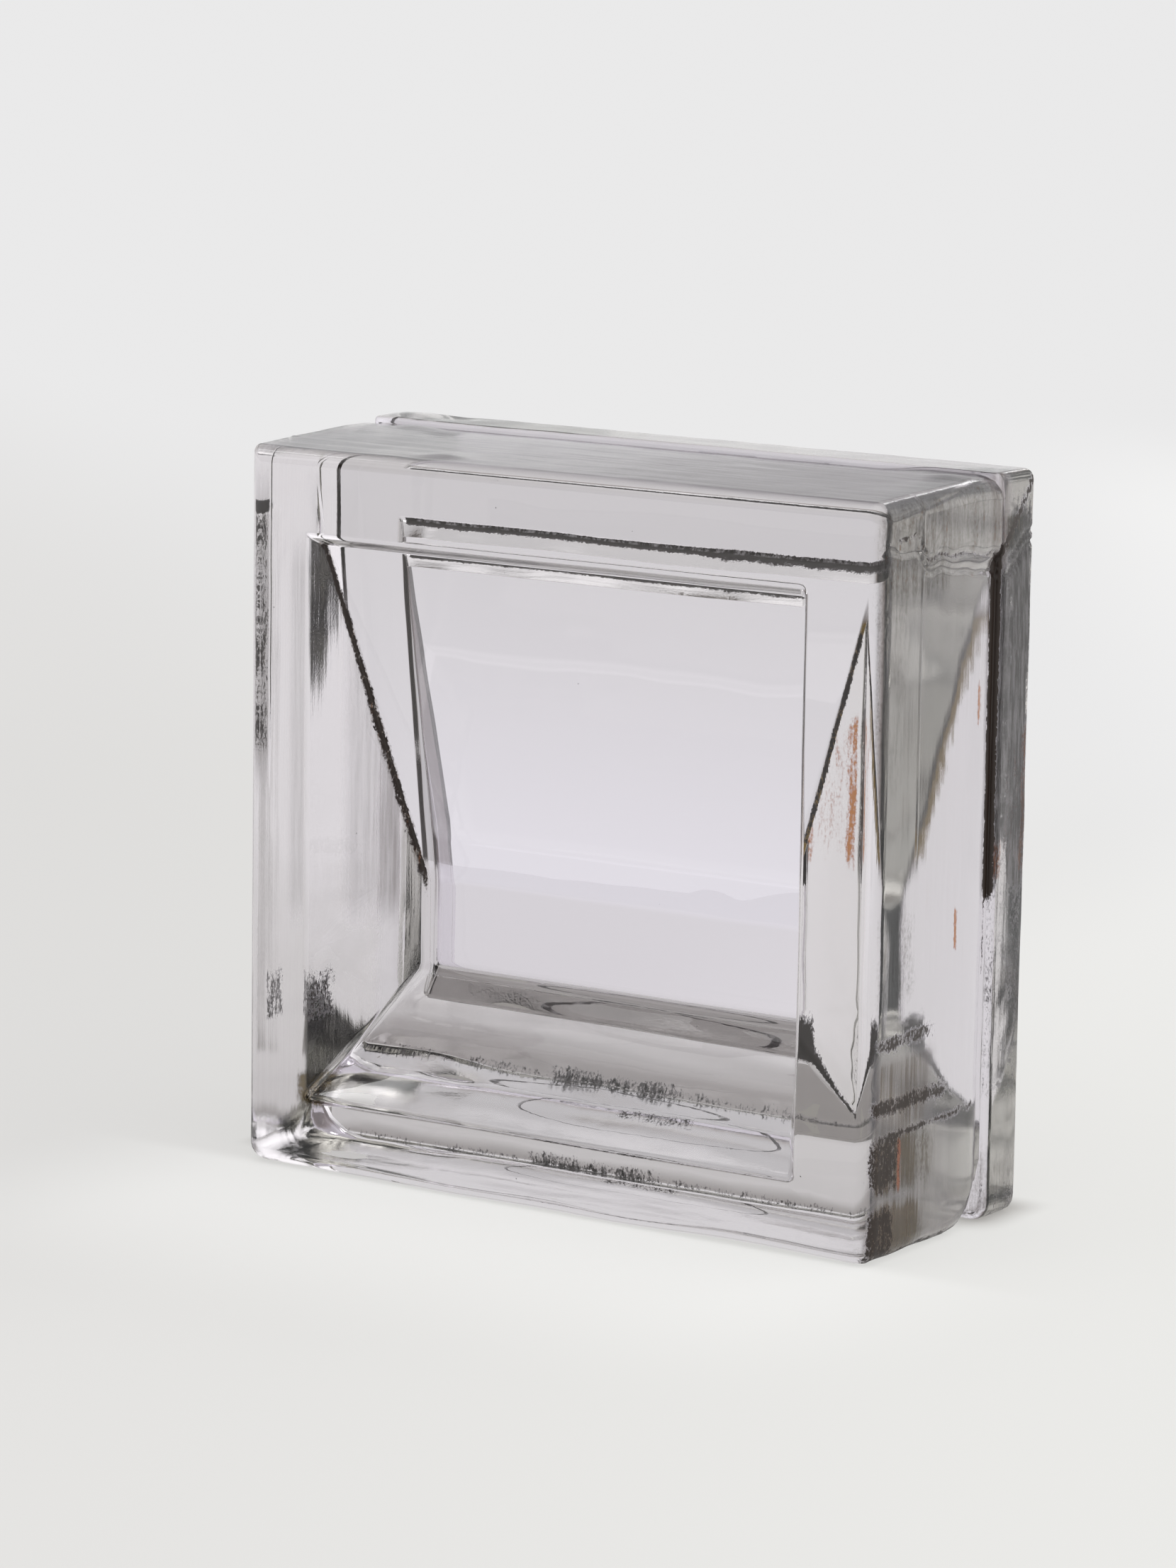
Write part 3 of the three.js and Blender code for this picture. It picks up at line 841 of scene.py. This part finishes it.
def glass_material():
    # Pressed in an iron mould: the faces that met the plunger are fire-bright, the sides carry the
    # mould's vertical drag lines and grain, and the collar is frosted with ground-in dirt.
    material = bpy.data.materials.new("pressed_soda_lime_glass")
    add = partial(add_node, new_tree(material))
    place = add("TexCoord").outputs["Object"]
    x, y, z = add("SeparateXYZ", None, place).outputs
    worn, top, filmed, dirty, rusty, stainy = (
        add("Attribute", {"attribute_name": name}).outputs["Fac"] for name in SHARES
    )
    grains = {}
    for name, (size, stretched, detail, rough) in GRAINS.items():
        scaled = add("VectorMath", MULTIPLY, place, stretched)
        grains[name] = add("TexNoise", None, scaled, 1 / (size * MM), detail, rough)
    mottle, specks, runs = grains["mottle"], grains["specks"], grains["runs"]

    drag = add("Mix", None, top, grains["upright_drag"], grains["level_drag"])
    relief = add("Math", ADD, add("Math", MULTIPLY, drag, DRAG_OVER_SAND), grains["sand"])
    relief = add("Math", MULTIPLY, relief, worn)
    bump = add("Bump", Strength=1.0, Distance=RELIEF, Height=relief)

    # Dirt, rust and stain break up into specks and runs where there is less of them.
    blots = add("Math", MULTIPLY, specks, SPECKS_IN_BLOTS)
    blots = add("Math", ADD, blots, add("Math", MULTIPLY, mottle, MOTTLE_IN_BLOTS))
    streaks = add("Math", ADD, runs, add("Math", MULTIPLY, specks, SPECKS_IN_STREAKS))
    covers = []
    for share, broken, full in (
        (dirty, blots, DIRT_COVER),
        (rusty, streaks, RUST_COVER),
        (stainy, streaks, STAIN_COVER),
    ):
        cover = add("MapRange", SMOOTH, add("Math", ADD, share, broken), *full)
        some = add("MapRange", SMOOTH, share, 0.0, NO_COVER)
        covers.append(add("Math", MULTIPLY, cover, some))
    dirt, rust, stain = covers
    seeds = add("TexVoronoi", None, place, 1 / SEED_SPACING)
    seed = add("Math", MULTIPLY, seeds.outputs["Color"], SEED_SIZE)
    seed = add("Math", SUBTRACT, seed, SEED_LEFT_OUT)
    seed = add("Math", LESS_THAN, seeds.outputs["Distance"], seed)
    dirt = add("Math", MAXIMUM, dirt, add("Math", MULTIPLY, seed, SEED_COVER))
    # Dirt on the back face has run down in streaks.
    start, full = BACK_FACE
    thin = add("MapRange", SMOOTH, y, BACK - start, BACK - full, 1.0, BACK_RUNS_LEFT)
    dirt = add("Math", MULTIPLY, dirt, add("MapRange", SMOOTH, runs, *BACK_RUNS, thin, 1.0))
    # Painted dark lines in loops on the foot, which stand in for lines of refraction, are laid on
    # with the dirt.
    for mark in PAINTED_LOOPS:
        loop_line = painted_loop_line(add, mark, mottle, x, y, z)
        dirt = add("Math", MAXIMUM, dirt, add("Math", MULTIPLY, loop_line, PAINTED_LOOP_COVER))

    # The film follows the drag lines, less so on the top.
    streaky = add("MapRange", SMOOTH, drag, *FILM_DRAG, 1.0)
    even = add("Math", MULTIPLY, top, FILM_EVEN_ON_TOP)
    streaky = add("Mix", None, even, streaky, FILM_LEVEL)
    film = add("Math", MULTIPLY, streaky, filmed)
    seen = add("Mix", COLOURS, top, colour(SIDE_FILM_COLOUR), colour(TOP_FILM_COLOUR))
    seen = add("Mix", COLOURS, film, colour(CLEAR), seen)
    band = crease_band(add, grains["teeth"], x, y, z)
    for cover, cover_colour in (
        (stain, STAIN_COLOUR),
        (band, CREASE_COLOUR),
        (rust, RUST_COLOUR),
        (dirt, DIRT_COLOUR),
    ):
        seen = add("Mix", COLOURS, cover, seen, colour(cover_colour))
    hidden = add("Math", ADD, dirt, add("Math", MULTIPLY, rust, RUST_HIDES))
    hidden = add("Math", ADD, hidden, add("Math", MULTIPLY, film, FILM_HIDES))
    clear = add("Math", {"operation": "SUBTRACT", "use_clamp": True}, 1.0, hidden)
    rough = add("Math", MULTIPLY, worn, WORN_ROUGHNESS)
    rough = add("Math", ADD, rough, add("Math", MULTIPLY, hidden, COVER_ROUGHNESS))
    shader = add(
        "BsdfPrincipled",
        Base_Color=seen,
        Roughness=rough,
        IOR=GLASS_IOR,
        Transmission_Weight=clear,
        Normal=bump,
    )
    tint = add("VolumeAbsorption", Color=colour(ABSORPTION), Density=ABSORPTION_DENSITY)
    add("OutputMaterial", Surface=shader, Volume=tint)
    return material


# --- Studio -----------------------------------------------------------------------------------
FLOOR_SIZE = 16
FLOOR_GAP = 0.2 * MM  # the floor is this far below the block, whose foot isn't quite even
WINDOW_WAY = (0.54, 0.84, 0)  # towards the window, behind the block to its right
RIGHT_WAY = (0.84, 0.54, 0)
# Painted shadow of the block on the paper: its colour, and how much of it is laid on.
PAINTED_SHADOW = "#6F665F"
PAINTED_SHADOW_COVER = 0.55
FLOOR_SHOWN = 0.77  # share of the floor's own level in what the camera and the glass see of it


def between(add, value, start, full, last, gone):
    """A share that comes in from start to full and goes again from last to gone."""
    comes = add("MapRange", SMOOTH, value, start, full)
    return add("Math", MULTIPLY, comes, add("MapRange", SMOOTH, value, last, gone, 1.0, 0.0))


def add_floor():
    bpy.ops.mesh.primitive_plane_add(size=FLOOR_SIZE, location=(0, 0, -FLOOR_GAP))
    floor = bpy.context.object
    floor.name = "studio_floor"
    material = bpy.data.materials.new("matt_paper")
    add = partial(add_node, new_tree(material))
    place = add("TexCoord").outputs["Object"]
    x, y, _ = add("SeparateXYZ", None, place).outputs
    off_middle = add("Math", ABSOLUTE, x)
    to_window = add("VectorMath", DOT_PRODUCT, place, WINDOW_WAY)
    to_right = add("VectorMath", DOT_PRODUCT, place, RIGHT_WAY)

    # White paper, with painted light: behind the block to the right, where it runs up to the
    # window, it is painted brighter.
    painted_window_light = add("MapRange", SMOOTH, to_window, 120 * MM, 500 * MM)
    white = add("Mix", COLOURS, painted_window_light, colour("#E9E8E7"), colour("#F9F8F8"))
    # On the left it is in the shade of the wall, and lighter again far off.
    far = add("MapRange", SMOOTH, y, 250 * MM, 500 * MM)
    shaded = add("Mix", COLOURS, far, colour("#D4D3D3"), colour("#DDDCDD"))
    in_shade = add("MapRange", SMOOTH, x, -20 * MM, -120 * MM)
    white = add("Mix", COLOURS, in_shade, white, shaded)
    # Painted shadow: close behind the block and along its left foot the paper is painted darker,
    # where the block shades it.
    beside = add("MapRange", SMOOTH, off_middle, 68 * MM, 78 * MM, 1.0, 0.0)
    behind = between(add, y, 8 * MM, 20 * MM, 29 * MM, 40 * MM)
    behind = add("Math", MULTIPLY, behind, beside)
    at_left = between(add, x, -84 * MM, -77 * MM, -72.5 * MM, -70.5 * MM)
    along = between(add, y, -18 * MM, -8 * MM, 22 * MM, 32 * MM)
    painted_shadow = add("Math", MAXIMUM, behind, add("Math", MULTIPLY, at_left, along))
    painted_shadow = add("Math", MULTIPLY, painted_shadow, PAINTED_SHADOW_COVER)
    white = add("Mix", COLOURS, painted_shadow, white, colour(PAINTED_SHADOW))
    paper = add("BsdfDiffuse", Color=white)

    # The level at which the floor shows, with painted light: brighter to the right and towards the
    # window.
    share = add("MapRange", SMOOTH, to_right, -180 * MM, 140 * MM)
    level = add("Mix", COLOURS, share, colour("#DDDCDA"), colour("#E7E7E4"))
    share = add("MapRange", SMOOTH, to_window, 100 * MM, 400 * MM)
    level = add("Mix", COLOURS, share, level, colour("#E9E9E9"))
    side_light = add("MapRange", SMOOTH, to_right, 120 * MM, 260 * MM)
    near = add("MapRange", SMOOTH, y, 950 * MM, 1300 * MM, 1.0, 0.0)
    side_light = add("Math", MULTIPLY, side_light, near)
    level = add("Mix", COLOURS, side_light, level, colour("#F8F8F7"))
    # Light that the block passes on falls on the paper close in front of it.
    passed = between(add, y, -130 * MM, -45 * MM, -30 * MM, -22 * MM)
    in_front = add("MapRange", SMOOTH, off_middle, 60 * MM, 120 * MM, 0.6, 0.0)
    passed = add("Math", MULTIPLY, passed, in_front)
    level = add("Mix", COLOURS, passed, level, colour("#F7F7F5"))
    # The painted shadow darkens the level that the floor shows, too.
    level = add("Mix", COLOURS, painted_shadow, level, colour(PAINTED_SHADOW))
    seen = add("Emission", Color=level, Strength=1.0)

    rays = add("LightPath").outputs
    direct = add("Math", MAXIMUM, rays["Is Camera Ray"], rays["Is Transmission Ray"])
    direct = add("Math", MAXIMUM, direct, rays["Is Glossy Ray"])
    shown = add("Math", MULTIPLY, direct, FLOOR_SHOWN)
    add("OutputMaterial", Surface=add("MixShader", None, shown, paper, seen))
    floor.data.materials.append(material)


# Soft panels and dark gaps of the studio: azimuth and elevation of the middle, in degrees from
# the block, azimuth 0 behind it and 90 to its right; the angles at which the panel starts to
# fade and is gone; and how much it adds to the dome's light.
DOME_LIGHT = 0.60
PANELS = (
    ("overhead_softbox", 150, 70, 22, 46, 1.75),
    ("softbox_behind", 30, 33, 12, 34, 0.35),
    ("window_right", 62, 14, 26, 52, 0.58),
    ("side_right_high", 75, 50, 12, 36, -0.25),
    ("dark_room", 232, 16, 30, 78, -0.60),
    ("left_high", 300, 50, 14, 34, 0.10),
    ("lamp_in_front", 221, 41, 8, 20, 0.85),
    ("lamp_at_left", 250, 51, 8, 20, 0.80),
    ("lamp_on_sill", 254.2, 52.9, 0.6, 2.2, 5.0),
    ("glint_lamp", 345, 27, 1.5, 4, 4.0),
    ("low_lamp_in_front", 218, 27, 4, 9, 0.55),
    ("backdrop_gap", 4, 3, 11, 23, -0.40),
    ("backdrop", 326, 11, 11, 20, 0.30),
)
DARKEST = 0.05
# The dome is white, and warmer where it is dark, between these levels.
WARM_LEVELS = (0.2, 0.7)
WHITE = (1.0, 1.0, 1.0, 1)
WARM = (1.08, 0.97, 0.90, 1)


def add_world():
    world = bpy.data.worlds.new("studio")
    bpy.context.scene.world = world
    add = partial(add_node, new_tree(world))
    way = add("TexCoord").outputs["Generated"]
    level = DOME_LIGHT
    for name, azimuth, elevation, full, gone, amount in PANELS:
        a, e = math.radians(azimuth), math.radians(elevation)
        middle = (math.sin(a) * math.cos(e), math.cos(a) * math.cos(e), math.sin(e))
        near = add("VectorMath", DOT_PRODUCT, way, middle)
        edge, inside = math.cos(math.radians(gone)), math.cos(math.radians(full))
        panel = add("MapRange", {**SMOOTH, "label": name}, near, edge, inside, 0.0, amount)
        level = add("Math", ADD, level, panel)
    level = add("Math", MAXIMUM, level, DARKEST)
    warm = add("MapRange", SMOOTH, level, *WARM_LEVELS, 1.0, 0.0)
    tinted = add("Mix", COLOURS, warm, WHITE, WARM)
    light = add("Background", Color=tinted, Strength=level)
    add("OutputWorld", Surface=light)


bpy.context.scene.view_settings.view_transform = "Standard"
add_camera()
add_floor()
add_world()

block = model_block()
block.data.materials.append(glass_material())
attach(block, "root")
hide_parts("glass_block")
